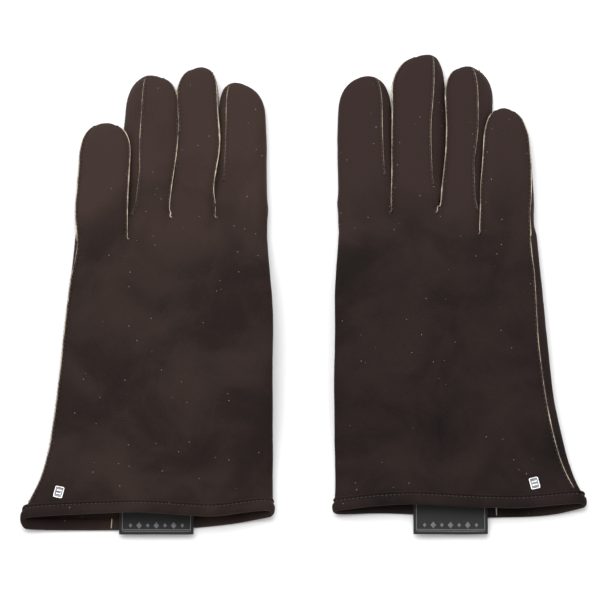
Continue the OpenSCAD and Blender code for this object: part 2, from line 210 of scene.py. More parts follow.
def handSheet(glove, level):
    side, across = glove["side"], cuts["across"]
    steps = np.linspace(0, 1, across, endpoint=False)
    borders, roots = glove["borders"], glove["roots"]
    atRoot = np.append(np.concatenate([mix(borders[k], borders[k + 1], steps) for k in range(4)]), borders[4])
    rootY = np.append(np.concatenate([mix(roots[k], roots[k + 1], steps) for k in range(4)]), roots[4])
    share = (atRoot - atRoot[0]) / (atRoot[-1] - atRoot[0])
    hem = hand["backHem" if level > 0 else "palmHem"][side]
    hemY = softCurve(hem, mix(-hand["hemHalf"], hand["hemHalf"], share))
    rows = np.linspace(0, 1, cuts["hand"] + 1)[:, None]
    y = mix(hemY[None, :], rootY[None, :], rows)
    inset = softCurve(hand["outseamInset"][side], y) if level > 0 else finger["palmInset"]
    low, high = outerSide(glove, y) + inset, thumbSide(y) - hand["foldInset"]
    toRoot = smooth(rows, hand["rootFrom"], 1)
    x = mix(mix(low, high, share[None, :]), atRoot[None, :], toRoot)
    reach = (2 * x - outerSide(glove, y) - thumbSide(y)) / (thumbSide(y) - outerSide(glove, y))
    grid = handPoint(glove, x, y, level * ovalHeight(reach))
    lobe = (np.arange(len(share)) / across) % 1 * 2 - 1  # each finger's root is an oval of its own
    lobe = ovalHeight(np.abs(lobe) * finger["rootReach"])
    lobes = finger["rootHeight"] / 2 * (1 + level * lobe)[None, :]
    grid[..., 2] = mix(grid[..., 2], lobes + 0 * y, smooth(rootY[None, :] - y, hand["rootReach"], 0))
    return grid


def bridge(top, bottom, guide):  # bends a ribbon's guide so that it meets both sheets
    step = np.linspace(0, 1, guide.shape[1])[None, :, None]
    return guide + (top - guide[:, 0])[:, None] * (1 - step) + (bottom - guide[:, -1])[:, None] * step


def sideTurns(topReach, bottomReach):  # angles round a side, from the back's edge to the palm's
    start, end = ovalTurn(topReach), -ovalTurn(bottomReach)
    return mix(start[:, None], end[:, None], np.linspace(0, 1, cuts["side"] + 1)[None, :])


def handRibbon(glove, back, palm, column, sign):
    top, bottom = back[:, column], palm[:, column]
    step = np.linspace(0, 1, cuts["side"] + 1)[None, :]
    y = mix(top[:, 1:2], bottom[:, 1:2], step)
    low, high = outerSide(glove, y), thumbSide(y)
    half = (high - low) / 2
    reaches = [np.clip(sign * (edge[:, 0] - ((low + high) / 2)[:, k]) / half[:, k], 0.4, 0.99)
               for edge, k in ((top, 0), (bottom, -1))]
    across, level = ovalEnd(sideTurns(*reaches))
    guide = handPoint(glove, (low + high) / 2 + sign * half * across, y, level)
    return bridge(top, bottom, guide)


def atStations(values, y):
    return softCurve(list(zip(finger["stations"], values)), y, reach=7)


def fingerRows(glove, name):  # each row's distance, its turn over the tip, and both edges there
    side, tip = glove["side"], glove["tip"][name]
    reach = finger["round"][side][name]
    start = tip - reach - finger["crown"]
    k = fingers.index(name)
    root = min(glove["roots"][k], glove["roots"][k + 1])
    straight = mix(root, start, np.linspace(0, 1, cuts["finger"] + 1))
    turns = np.radians(finger["tipTurn"]) * np.linspace(0, 1, cuts["tip"] + 1)[1:] ** finger["turnPower"]
    y = np.append(straight, start + reach * np.sin(turns))
    turn = np.append(0 * straight, turns)
    near = smooth(y, root, root + finger["settle"])
    outer, inner = [
        mix(border, atStations(finger[edge][side][name], y) + sign * finger["gap"] / 2, near)
        for border, edge, sign in zip(glove["borders"][k:k + 2], ("outer", "inner"), (1, -1))]
    middle, half = (outer + inner) / 2, (inner - outer) / 2
    shrink = np.cos(turn) ** finger["shrink"]
    middle = middle + finger["tipLean"][side][name] * (1 - shrink) / (1 - shrink[-1])
    return y, turn, near, middle, half, shrink


def fingerInsets(glove, name, y, near):
    side, k = glove["side"], fingers.index(name)
    low = softCurve(hand["outseamInset"][side], y)
    if k > 0:
        low = near * atStations(finger["outerInset"][side][name], y)
    high = near * atStations(finger["innerInset"][side][name], y) if k < 3 else hand["foldInset"] + 0 * y
    return low, high


def fadeTo(grid, first, near):  # moves a finger's first row onto the hand's last one
    return grid + (first - grid[0])[None] * (1 - near)[:, None, None]


def fingerParts(glove, name, back, palm, lowChain, highChain):
    y, turn, near, middle, half, shrink = fingerRows(glove, name)
    insetLow, insetHigh = fingerInsets(glove, name, y, near)
    full = half + (1 - near) * finger["rootFull"]
    thin = np.cos(turn * 90 / finger["tipTurn"]) ** finger["thinning"]
    height = mix(finger["rootHeight"], finger["tipHeight"], smooth(y, y[0], y[-1])) * thin
    clear = finger["tipHeight"] * finger["tipLift"] * (1 - thin)
    topLow, topHigh = [np.clip(1 - inset / full, *finger["insetReach"]) for inset in (insetLow, insetHigh)]
    palmReach = 1 - finger["palmInset"] / full
    tipTurn = np.radians(finger["tipTurn"])
    atTip = smooth(turn, 0, tipTurn)
    crown = finger["round"][glove["side"]][name] * (1 - np.sin(tipTurn)) + finger["crown"]

    def point(reach, level):
        x = middle[:, None] + full[:, None] * reach * shrink[:, None]
        bulge = atTip[:, None] * crown * (1 - reach ** 2)
        z = clear[:, None] + height[:, None] / 2 * (1 + level)
        return np.stack([x, y[:, None] + bulge, z], axis=-1)

    across = np.linspace(0, 1, cuts["across"] + 1)[None, :]
    sheets = []
    for level, low, high in ((1, topLow, topHigh), (-1, palmReach, palmReach)):
        reach = mix(-low[:, None], high[:, None], across)
        sheets.append(point(reach, level * ovalHeight(reach)))
    fade = smooth(y, y[0], y[0] + hand["rootReach"])
    top, bottom = [fadeTo(grid, row, fade) for grid, row in zip(sheets, (back[-1], palm[-1]))]
    seam = (top[-1] + bottom[-1]) / 2
    top[-1] = bottom[-1] = seam
    if name == "little":  # it lies a little over the ring finger's side
        for grid in (top, bottom):
            grid[..., 2] += finger["overlap"] * (near * shrink)[:, None] * smooth(across, 0.2, 1)
    ribbons = []
    step = np.linspace(0, 1, cuts["side"] + 1)[None, :]
    for sign, edge, reaches, inset, chain in (
            (-1, 0, topLow, insetLow, lowChain), (1, -1, topHigh, insetHigh, highChain)):
        share, level = ovalEnd(sideTurns(reaches, palmReach))
        tuck = finger["tuck"] * smooth(inset, 2.5, 9)[:, None]  # a wide side slopes down to the table
        level = np.maximum(level - tuck * np.sin(math.pi * step), -1)
        ribbon = bridge(top[:, edge], bottom[:, edge], point(sign * share, level))
        ribbon = fadeTo(ribbon, chain, smooth(y, y[0], y[0] + 8))
        ribbon[-1] = seam[edge]
        ribbons.append(ribbon)
    return {"back": top, "palm": bottom, "low": ribbons[0], "high": ribbons[1]}


def crotchChain(top, bottom):  # the short fold between two finger roots
    step = np.linspace(0, 1, cuts["side"] + 1)[:, None]
    chain = mix(top, bottom, step)
    chain[:, 1] -= finger["crotchDip"] * np.sin(math.pi * step[:, 0])
    return chain


def gloveGrids(glove):
    back, palm = handSheet(glove, 1), handSheet(glove, -1)
    grids = {"handBack": back, "handPalm": palm,
             "handLow": handRibbon(glove, back, palm, 0, -1),
             "handHigh": handRibbon(glove, back, palm, -1, 1)}
    across = cuts["across"]
    chains = [grids["handLow"][-1]]
    chains += [crotchChain(back[-1, k * across], palm[-1, k * across]) for k in (1, 2, 3)]
    chains.append(grids["handHigh"][-1])
    for k, name in enumerate(fingers):
        columns = slice(k * across, (k + 1) * across + 1)
        parts = fingerParts(glove, name, back[:, columns], palm[:, columns], chains[k], chains[k + 1])
        grids.update({f"{name}_{part}": grid for part, grid in parts.items()})
    return grids


def tubeGrid(rows, turns):  # a folded tube: each row is both edges, the lowest z and the height
    low, high = np.array([r[0] for r in rows], float), np.array([r[1] for r in rows], float)
    base, height = np.array([r[2:] for r in rows], float).T
    steps = np.linspace(0, 1, len(rows))
    fine = np.linspace(0, 1, cuts["thumb"])
    low, high, base, height = [np.stack([splineThrough(steps, v, fine) for v in np.atleast_2d(a.T)], -1)
                               for a in (low, high, base, height)]
    middle, along = (low + high) / 2, high - low
    half = np.linalg.norm(along, axis=1) / 2
    along = along / (2 * half[:, None])
    sides = np.sign(np.cos(turns)) * ovalEnd(np.arccos(np.abs(np.cos(turns))))[0]
    level = np.sin(turns) ** 3 * 0.2 + np.sin(turns) * 0.8
    grid = np.zeros((len(fine), len(turns), 3))
    grid[..., :2] = middle[:, None] + along[:, None] * (half[:, None] * sides)[..., None]
    grid[..., 2] = base + height / 2 * (1 + level[None, :])
    return grid


def splineThrough(at, values, x):  # a smooth line through evenly spaced values
    k = np.clip((x * (len(at) - 1)).astype(int), 0, len(at) - 2)
    t = x * (len(at) - 1) - k
    before, here, there, after = [values[np.clip(k + d, 0, len(at) - 1)] for d in (-1, 0, 1, 2)]
    slopes = (there - before) / 2, (after - here) / 2
    return ((2 * t ** 3 - 3 * t ** 2 + 1) * here + (t ** 3 - 2 * t ** 2 + t) * slopes[0]
            + (3 * t ** 2 - 2 * t ** 3) * there + (t ** 3 - t ** 2) * slopes[1])


# the surface: creases, normals and the leather's thickness
leather = {"thick": 0.9, "softLift": 0.75, "softSize": 34.0, "fineLift": 0.12, "fineSize": 7.0,
           "lowest": 0.05}
# long shallow creases on each back: both ends, depth and width
creases = {
    "left": [((47, 172), (13, 138), 0.55, 7), ((-14, 152), (-34, 128), 0.25, 6),
             ((30, 60), (62, 48), 0.25, 9)],
    "right": [((28, 148), (52, 112), 0.3, 9), ((-12, 150), (-30, 118), 0.25, 7),
              ((0, 62), (40, 50), 0.25, 9)],
}


def creaseDepth(glove, points):
    depth = np.zeros(len(points))
    for start, end, deep, wide in creases[glove["side"]]:
        a, way = np.array(start, float), np.subtract(end, start).astype(float)
        share = (points[:, :2] - a) @ way / (way @ way)
        away = np.linalg.norm(points[:, :2] - a - np.clip(share, 0, 1)[:, None] * way, axis=1)
        fade = smooth(share, -0.3, 0.25) * (1 - smooth(share, 0.75, 1.3))
        swell = 0.6 * np.exp(-((away - 1.5 * wide) / wide) ** 2)
        depth += deep * fade * (np.exp(-(away / wide) ** 2) - swell)
    return depth


def softBumps(glove, points, normals):
    shift = {"left": 0.0, "right": 71.0}[glove["side"]]
    places = [Vector((p[0] + shift, p[1], p[2])) for p in points]
    lift = np.array([leather["softLift"] * noise.noise(at / leather["softSize"])
                     + leather["fineLift"] * noise.noise(at / leather["fineSize"]) for at in places])
    lift -= creaseDepth(glove, points) * (normals[:, 2] > 0)
    points = points + normals * (lift * smooth(points[:, 1], 4, 16))[:, None]
    points[:, 2] = np.maximum(points[:, 2], leather["lowest"])
    return points


def quads(index, flip):  # faces of a grid of vertex numbers
    a, b, c, d = index[:-1, :-1], index[:-1, 1:], index[1:, 1:], index[1:, :-1]
    faces = np.stack([a, b, c, d], axis=-1).reshape(-1, 4)
    return faces[:, ::-1] if flip else faces


def pointNormals(points, faces):
    corners = points[faces]
    across = np.cross(corners[:, 2] - corners[:, 0], corners[:, 3] - corners[:, 1])
    normals = np.zeros_like(points)
    for corner in range(4):
        np.add.at(normals, faces[:, corner], across)
    return normals / np.maximum(np.linalg.norm(normals, axis=1), 1e-9)[:, None]


def weld(grids):  # one shared list of points, and each grid as numbers in it
    rows = np.concatenate([g.reshape(-1, 3) for g in grids.values()])
    _, first, number = np.unique(rows.round(4), axis=0, return_index=True, return_inverse=True)
    number, indices, start = number.reshape(-1), {}, 0
    for name, grid in grids.items():
        size = grid.shape[0] * grid.shape[1]
        indices[name] = number[start:start + size].reshape(grid.shape[:2])
        start += size
    return rows[first], indices


def facesInward(name):  # grids whose rows and columns turn their faces to the inside
    return name.endswith(("Palm", "_palm", "Low", "_low"))


# pieces, and small solid shapes that follow a path
def toWorld(glove, points):
    points = np.asarray(points, float)
    scale = np.array([glove["mirror"] * mm, mm, mm])
    return points * scale + np.array([glove["x"], glove["y"], 0])


def addPiece(glove, body, name, shape, material, normals=None, rounded=False):
    name, (points, faces) = f"{glove['side']}_{name}", shape
    mesh = bpy.data.meshes.new(name)
    faces = [list(f)[::-1] if glove["mirror"] < 0 else list(f) for f in faces]
    mesh.from_pydata(toWorld(glove, points).tolist(), [], faces)
    mesh.validate()
    mesh.polygons.foreach_set("use_smooth", [True] * len(mesh.polygons))
    if normals is not None:
        turned = normals * np.array([glove["mirror"], 1, 1])
        mesh.normals_split_custom_set_from_vertices(turned.tolist())
    mesh.materials.append(material)
    piece = bpy.data.objects.new(name, mesh)
    bpy.context.scene.collection.objects.link(piece)
    if rounded:
        smoothOut(piece)
    attach(glove, piece, body)
    return piece


def smoothOut(piece):  # one subdivision, applied
    made = piece.modifiers.new("rounding", "SUBSURF")
    made.levels = made.render_levels = 1
    graph = bpy.context.evaluated_depsgraph_get()
    piece.data = bpy.data.meshes.new_from_object(piece.evaluated_get(graph))
    piece.modifiers.clear()


def attach(glove, piece, body):  # on the hand it rides its body; on a finger or thumb its placement is only baked into the mesh
    side = glove["side"]
    if body == "hand":
        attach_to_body(piece, f"{side}_hand")
        return
    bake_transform(piece)


def closeSheet(faces, count):  # a sheet's faces, their turned copy below and the walls between
    edges = {(f[k - 1], f[k]) for f in faces for k in range(len(f))}
    walls = [[b, a, a + count, b + count] for a, b in sorted(edges) if (b, a) not in edges]
    return faces + [[v + count for v in reversed(f)] for f in faces] + walls


def solidSheet(points, normals, faces, thick):  # a closed sheet of leather under these faces
    used, local = np.unique(faces, return_inverse=True)
    local = local.reshape(faces.shape)
    outer, count = points[used], len(used)
    inner = outer - normals[used] * thick
    keep = [[int(v) for k, v in enumerate(f) if v != f[k - 1]] for f in local]
    keep = [f for f in keep if len(f) > 2]
    both = np.concatenate([normals[used], -normals[used]])
    return np.concatenate([outer, inner]), closeSheet(keep, count), both


def unit(rows):
    return rows / np.linalg.norm(rows, axis=1)[:, None]


def sweep(path, ups, profile, widths=1, lift=1):  # a profile of (side, up) along a path
    path, ups, profile = np.array(path), np.array(ups), np.array(profile, float)
    way = unit(np.gradient(path, axis=0))
    side = unit(np.cross(way, ups))
    up = np.cross(side, way)
    across, high = [np.outer(np.ones(len(path)) * share, profile[:, k])
                    for k, share in enumerate((widths, lift))]
    points = path[:, None] + side[:, None] * across[..., None] + up[:, None] * high[..., None]
    n, m = points.shape[:2]
    faces = [[i * m + j, i * m + (j + 1) % m, (i + 1) * m + (j + 1) % m, (i + 1) * m + j]
             for i in range(n - 1) for j in range(m)]
    faces += [list(range(m))[::-1], list(range((n - 1) * m, n * m))]
    return points.reshape(-1, 3), faces


def joinParts(parts):
    points, faces, start = [], [], 0
    for some, around in parts:
        points.append(some)
        faces += [[v + start for v in face] for face in around]
        start += len(some)
    return np.concatenate(points), faces


def lengthsAlong(path):
    return np.append(0, np.cumsum(np.linalg.norm(np.diff(path, axis=0), axis=1)))


def pick(at, length, rows):  # rows of three numbers at some distances along a path
    return np.stack([np.interp(at, length, rows[:, k]) for k in range(3)], -1)


def alongPath(path, ups, pitch):  # even steps along a path: points, directions and ups
    path, ups = np.asarray(path), np.asarray(ups)
    length = lengthsAlong(path)
    at = np.arange(pitch / 2, length[-1] - pitch / 2, pitch)
    points, tops = pick(at, length, path), pick(at, length, ups)
    ways = pick(at + 0.2, length, path) - points
    return points, ways / np.maximum(np.linalg.norm(ways, axis=1), 1e-9)[:, None], tops


def stitchRow(path, ups, sideways, lift, stitch):  # short stitches that dip in at both ends
    points, ways, tops = alongPath(path, ups, stitch["pitch"])
    crosswise = unit(np.cross(ways, tops))
    parts, steps = [], np.linspace(-1, 1, 5)
    ring = [(stitch["radius"] * math.cos(a), stitch["radius"] * math.sin(a))
            for a in np.arange(6) * math.pi / 3]
    for k, (point, way, top, cross) in enumerate(zip(points, ways, tops, crosswise)):
        lean = stitch.get("lean", 0) * cross
        line = [point + cross * sideways + top * (lift - stitch["dip"] * s ** 2)
                + (way * stitch["length"] / 2 + lean) * s for s in steps]
        parts.append(sweep(line, np.tile(top, (5, 1)), ring))
    return parts


# shader groups and materials
def newGroup(name, inputs, outputs):
    group = bpy.data.node_groups.new(name, "ShaderNodeTree")
    for label, kind, value in inputs:
        made = group.interface.new_socket(name=label, in_out="INPUT", socket_type=f"NodeSocket{kind}")
        if value is not None:
            made.default_value = value
    for label, kind in outputs:
        group.interface.new_socket(name=label, in_out="OUTPUT", socket_type=f"NodeSocket{kind}")
    return group, group.nodes.new("NodeGroupInput"), group.nodes.new("NodeGroupOutput")


def node(tree, kind, links=None, **values):  # a node, with plain settings and linked or set inputs
    made = tree.nodes.new(kind)
    for key, value in values.items():
        setattr(made, key, value)
    for key, value in (links or {}).items():
        if isinstance(value, bpy.types.NodeSocket):
            tree.links.new(value, made.inputs[key])
        else:
            made.inputs[key].default_value = value
    return made


def math2(tree, operation, a, b):
    return node(tree, "ShaderNodeMath", {0: a, 1: b}, operation=operation).outputs[0]


def ramp(tree, value, low, high):  # 0 below low, 1 above high
    made = node(tree, "ShaderNodeMapRange", {"Value": value, "From Min": low, "From Max": high})
    made.interpolation_type = "SMOOTHSTEP"
    return made.outputs["Result"]


def mixColour(tree, share, a, b):
    made = node(tree, "ShaderNodeMix", {"Factor": share}, data_type="RGBA")
    for socket, value in zip([i for i in made.inputs if i.type == "RGBA"], (a, b)):
        if isinstance(value, bpy.types.NodeSocket):
            tree.links.new(value, socket)
        else:
            socket.default_value = value
    return [o for o in made.outputs if o.type == "RGBA"][0]


def napGroup():  # the brushed surface: cloudy patches, fine grain and its height
    group, given, out = newGroup("BrushedNap", [
        ("Place", "Vector", None), ("PatchSize", "Float", 30.0), ("GrainSize", "Float", 900.0)],
        [("Patches", "Float"), ("Grain", "Float"), ("Height", "Float")])
    patches = node(group, "ShaderNodeTexNoise", {
        "Vector": given.outputs["Place"], "Scale": given.outputs["PatchSize"], "Detail": 4.0,
        "Roughness": 0.55, "Distortion": 0.4})
    grain = node(group, "ShaderNodeTexNoise", {
        "Vector": given.outputs["Place"], "Scale": given.outputs["GrainSize"], "Detail": 3.0,
        "Roughness": 0.7})
    pores = node(group, "ShaderNodeTexVoronoi", {
        "Vector": given.outputs["Place"], "Scale": given.outputs["GrainSize"]})
    pits = math2(group, "MULTIPLY", pores.outputs["Distance"], 0.5)
    height = math2(group, "ADD", grain.outputs["Fac"], pits)
    group.links.new(ramp(group, patches.outputs["Fac"], 0.3, 0.7), out.inputs["Patches"])
    group.links.new(grain.outputs["Fac"], out.inputs["Grain"])
    group.links.new(height, out.inputs["Height"])
    return group


def lintGroup():  # pale specks of lint, one here and there
    group, given, out = newGroup("LintSpecks", [
        ("Place", "Vector", None), ("Spacing", "Float", 130.0), ("Size", "Float", 0.05),
        ("Share", "Float", 0.3)], [("Mask", "Float")])
    cells = node(group, "ShaderNodeTexVoronoi", {
        "Vector": given.outputs["Place"], "Scale": given.outputs["Spacing"]})
    near = math2(group, "LESS_THAN", cells.outputs["Distance"], given.outputs["Size"])
    chance = node(group, "ShaderNodeSeparateColor", {"Color": cells.outputs["Color"]}).outputs[0]
    picked = math2(group, "LESS_THAN", chance, given.outputs["Share"])
    group.links.new(math2(group, "MULTIPLY", near, picked), out.inputs["Mask"])
    return group


def weaveGroup():  # fine ribs of a woven band, across and along
    group, given, out = newGroup("FineWeave", [
        ("Place", "Vector", None), ("Threads", "Float", 1500.0)], [("Height", "Float"), ("Shade", "Float")])
    bands = [node(group, "ShaderNodeTexWave", {
        "Vector": given.outputs["Place"], "Scale": given.outputs["Threads"], "Distortion": 0.6},
        bands_direction=axis) for axis in "XY"]
    height = math2(group, "MULTIPLY", bands[0].outputs["Fac"], bands[1].outputs["Fac"])
    group.links.new(height, out.inputs["Height"])
    group.links.new(ramp(group, height, 0.1, 0.8), out.inputs["Shade"])
    return group


nap, lint, weave = napGroup(), lintGroup(), weaveGroup()


def newMaterial(name, settings):
    material = bpy.data.materials.new(name)
    material.use_nodes = True
    tree = material.node_tree
    shader = tree.nodes["Principled BSDF"]
    for key, value in settings.items():
        shader.inputs[key].default_value = value
    place = node(tree, "ShaderNodeTexCoord").outputs["Object"]
    return material, tree, shader, place


def useGroup(tree, group, links):
    return node(tree, "ShaderNodeGroup", links, node_tree=group)


def finishMaterial(tree, shader, colour, rough, bump):  # links the colour, the roughness and the bumps
    tree.links.new(colour, shader.inputs["Base Color"])
    if rough:
        made = node(tree, "ShaderNodeMapRange", dict(zip(("Value", "To Min", "To Max"), rough)))
        tree.links.new(made.outputs["Result"], shader.inputs["Roughness"])
    made = node(tree, "ShaderNodeBump", dict(zip(("Height", "Strength", "Distance"), bump)))
    tree.links.new(made.outputs["Normal"], shader.inputs["Normal"])


suede = {
    # each side's gain is how strongly light is painted onto its fingers
    "left": {"dark": (0.0072, 0.0038, 0.0034, 1), "light": (0.0350, 0.0210, 0.0172, 1),
             "sheen": 0.17, "gain": 0.66},
    "right": {"dark": (0.0012, 0.0007, 0.0007, 1), "light": (0.0270, 0.0156, 0.0138, 1),
              "sheen": 0.11, "gain": 0.92},
    "lint": (0.60, 0.55, 0.48, 1), "lintShare": 0.75, "roughness": (0.72, 0.9),
    "specks": {"Spacing": 220.0, "Size": 0.036, "Share": 0.85},
    "grainGain": 0.7, "patchGain": 0.5, "base": -0.2,
    "rubbed": {"from": 0.0, "to": 0.085},  # painted light: the fingers made paler toward their tips, where more light falls
}


def suedeMaterial(name, tone):
    material, tree, shader, place = newMaterial(name, {
        "Sheen Weight": tone["sheen"], "Sheen Roughness": 0.4, "Sheen Tint": (0.64, 0.48, 0.42, 1),
        "Specular IOR Level": 0.12})
    surface = useGroup(tree, nap, {"Place": place, "PatchSize": 26.0, "GrainSize": 1100.0})
    shade = math2(tree, "MULTIPLY_ADD", surface.outputs["Grain"], suede["grainGain"])
    shade.node.inputs[2].default_value = suede["base"]
    shade = math2(tree, "ADD", shade, math2(tree, "MULTIPLY", surface.outputs["Patches"], suede["patchGain"]))
    along = node(tree, "ShaderNodeSeparateXYZ", {"Vector": place}).outputs["Y"]
    # painted light: the suede turns paler along y toward the fingertips, as much as each side's gain
    rubbed = ramp(tree, along, suede["rubbed"]["from"], suede["rubbed"]["to"])
    shade = math2(tree, "ADD", shade, math2(tree, "MULTIPLY", rubbed, tone["gain"]))
    colour = mixColour(tree, shade, tone["dark"], tone["light"])
    specks = useGroup(tree, lint, {"Place": place, **suede["specks"]})
    speck = math2(tree, "MULTIPLY", specks.outputs["Mask"], suede["lintShare"])
    colour = mixColour(tree, speck, colour, suede["lint"])
    finishMaterial(tree, shader, colour, (surface.outputs["Grain"], *suede["roughness"]),
                   (surface.outputs["Height"], 0.5, 0.0004))
    return material


def rawEdgeMaterial():
    material, tree, shader, place = newMaterial("rawCutEdge", {"Roughness": 0.85, "Specular IOR Level": 0.2})
    surface = useGroup(tree, nap, {"Place": place, "PatchSize": 120.0, "GrainSize": 2400.0})
    colour = mixColour(tree, surface.outputs["Patches"], (0.17, 0.13, 0.11, 1), (0.60, 0.50, 0.36, 1))
    finishMaterial(tree, shader, colour, None, (surface.outputs["Height"], 0.4, 0.0002))
    return material


def clothMaterial(name, settings, threads, tones, rough, strength):  # woven or twisted threads
    material, tree, shader, place = newMaterial(name, settings)
    surface = useGroup(tree, weave, {"Place": place, "Threads": threads})
    colour = mixColour(tree, surface.outputs["Shade"], *tones)
    value, *ends = rough
    finishMaterial(tree, shader, colour, (surface.outputs[value], *ends),
                   (surface.outputs["Height"], strength, 0.0002))
    return material


def threadMaterial():
    return clothMaterial(
        "waxedThread", {"Sheen Weight": 0.2, "Specular IOR Level": 0.4}, 2600.0,
        ((0.020, 0.014, 0.012, 1), (0.120, 0.088, 0.070, 1)), ("Shade", 0.65, 0.45), 0.5)


def wovenMaterial(name, dark, light, sheen):
    return clothMaterial(name, {"Sheen Weight": sheen, "Sheen Roughness": 0.35}, 900.0,
                         (dark, light), ("Height", 0.7, 0.5), 0.6)


def silverMaterial(name, dark, light):
    material, tree, shader, place = newMaterial(name, {"Metallic": 1.0})
    wear = useGroup(tree, nap, {"Place": place, "PatchSize": 300.0, "GrainSize": 3500.0})
    colour = mixColour(tree, wear.outputs["Patches"], dark, light)
    finishMaterial(tree, shader, colour, (wear.outputs["Grain"], 0.22, 0.42),
                   (wear.outputs["Height"], 0.08, 0.0001))
    return material


rawEdge, thread = rawEdgeMaterial(), threadMaterial()
silver = silverMaterial("brightSilver", (0.48, 0.48, 0.49, 1), (0.72, 0.72, 0.73, 1))
darkSilver = silverMaterial("oxidisedSilver", (0.05, 0.05, 0.055, 1), (0.14, 0.14, 0.15, 1))
labelCloth = wovenMaterial("labelSatin", (0.005, 0.005, 0.006, 1), (0.014, 0.014, 0.016, 1), 0.06)
labelFigure = wovenMaterial("labelFigureThread", (0.12, 0.12, 0.13, 1), (0.25, 0.25, 0.26, 1), 0.2)
print("materials made")


# the leather panels of each glove
panels = {  # each panel's grids, some with the strips that it takes of them; its first word names its body, and only the hand's panels ride one
    "hand_back": [("handBack",), ("handHigh", 0, 3)],
    "hand_palm": [("handPalm",), ("handLow",), ("handHigh", 3, 6)],
    "index_wrap": [("index_back",), ("index_high",), ("index_palm",)],
    "index_fourchette": [("index_low",)],
    "middle_back": [("middle_back",)],
    "middle_palm": [("middle_palm",)],
    "middle_fourchette_index": [("middle_high",)],
    "middle_fourchette_ring": [("middle_low",)],
    "ring_back": [("ring_back",)],
    "ring_palm": [("ring_palm",)],
    "ring_fourchette_middle": [("ring_high",)],
    "ring_fourchette_little": [("ring_low",)],
    "little_back": [("little_back",)],
    "little_palm": [("little_palm",), ("little_low",)],
    "little_fourchette": [("little_high",)],
}


def makePanels(glove, skin):
    side = glove["side"]
    for name, parts in panels.items():
        faces = []
        for grid, *strips in parts:
            index = skin["index"][grid]
            if strips:
                index = index[:, strips[0]:strips[1] + 1]
            faces.append(quads(index, facesInward(grid)))
        *shape, normals = solidSheet(
            skin["points"], skin["normals"], np.concatenate(faces), leather["thick"])
        piece = addPiece(glove, name.split("_")[0], f"{name}_leather", shape,
                         glove["suede"], normals)
        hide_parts(f"{side}_{name}")


# the seams: two cut edges stand up side by side, pale on top, with stitches on both flanks
seam = {
    "profile": [(-0.72, -0.35), (-0.62, 0.3), (-0.42, 0.62), (0.42, 0.62), (0.62, 0.3), (0.72, -0.35)],
    "edge": [(-0.5, 0.45), (-0.5, 0.72), (-0.1, 0.86), (0.1, 0.86), (0.5, 0.72), (0.5, 0.45)],
    "strong": 0.5, "weak": 0.19, "outseam": {"left": 0.34, "right": 0.25}, "least": 0.05, "tipShare": 0.99,
    "weakFrom": {"left": {"ring": 4, "middle": 18, "index": 9},  # the row where a weak back seam starts
                 "right": {"ring": 4, "middle": 5, "index": 9}},
    "palmFrom": 4, "outerShare": 0.7, "step": 0.9, "stitchSide": 0.62, "stitchLift": 0.34,
    "patches": {"long": 1.1, "short": 0.55, "gain": 1.3}, "lowest": 0.01,
    "stitch": {"pitch": 2.4, "length": 1.3, "radius": 0.17, "dip": 0.3, "lean": 0.12},
}
hook = ((1.9, -0.5), (1.2, -1.4), (0.3, -1.2))  # how a seam turns aside at the foot of a finger


def paleWidths(path, strength, seed):  # the cut edge shows more in some stretches than in others
    patches = seam["patches"]
    spots = [noise.noise(Vector((p[1] / 14, p[0] / 9, seed))) * patches["long"]
             + noise.noise(Vector((p[1] / 2.2, seed, 4))) * patches["short"] for p in path]
    return np.clip(strength * (1 + np.array(spots) * patches["gain"]), seam["least"], 1.0)


def resample(path, ups, pitch):
    path, ups = np.asarray(path, float), np.asarray(ups, float)
    length = lengthsAlong(path)
    at = np.linspace(0, length[-1], max(4, int(length[-1] / pitch)))
    return pick(at, length, path), unit(pick(at, length, ups))


def seamAlong(path, ups, strength, seed):
    path, ups = resample(path, ups, seam["step"])
    step = np.arange(len(path))
    ends = np.minimum(1, np.minimum(step / 3 + 0.35, step[::-1] / 9 + 0.15))
    widths = paleWidths(path, strength, seed)
    if strength <= seam["weak"]:  # a weak seam closes up toward the finger's foot
        widths *= smooth(step, 0.1 * len(path), 0.65 * len(path))
    rib = sweep(path, ups, seam["profile"], ends, lift=ends)
    edge = sweep(path, ups, seam["edge"], widths * ends, lift=ends)
    stitches = [part for across in (-seam["stitchSide"], seam["stitchSide"])
                for part in stitchRow(path, ups, across, seam["stitchLift"], seam["stitch"])]
    return rib, edge, stitches


def seamPath(skin, grid, column, hooked, first):
    index = skin["index"][grid][first:, column]
    path, ups = skin["points"][index], skin["normals"][index]
    keep = max(4, int(len(path) * seam["tipShare"]))
    path, ups = path[:keep], ups[:keep]
    if hooked:
        turn = np.array([[path[0, 0] + dx, path[0, 1] + dy, path[0, 2] + 0.5] for dx, dy in hook])
        path = np.concatenate([turn, path[1:]])
        ups = np.concatenate([np.tile([0, 0, 1.0], (len(turn), 1)), ups[1:]])
    return path, ups


def addTrim(glove, body, name, kinds, nodes):  # ribs, pale edges and stitches of some seams
    ribs, edges, stitches = kinds
    for label, parts, material, slotName in (
            ("seam_ribs", ribs, glove["suede"], "glove_leather"),
            ("seam_edges", edges, rawEdge, "seam_edge"),
            ("stitches", stitches, thread, "dark_thread")):
        points, faces = joinParts(parts)
        points[:, 2] = np.maximum(points[:, 2], seam["lowest"])  # pressed flat where it lies on the table
        piece = addPiece(glove, body, f"{name}_{label}", (points, faces), material)
    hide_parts(*nodes)


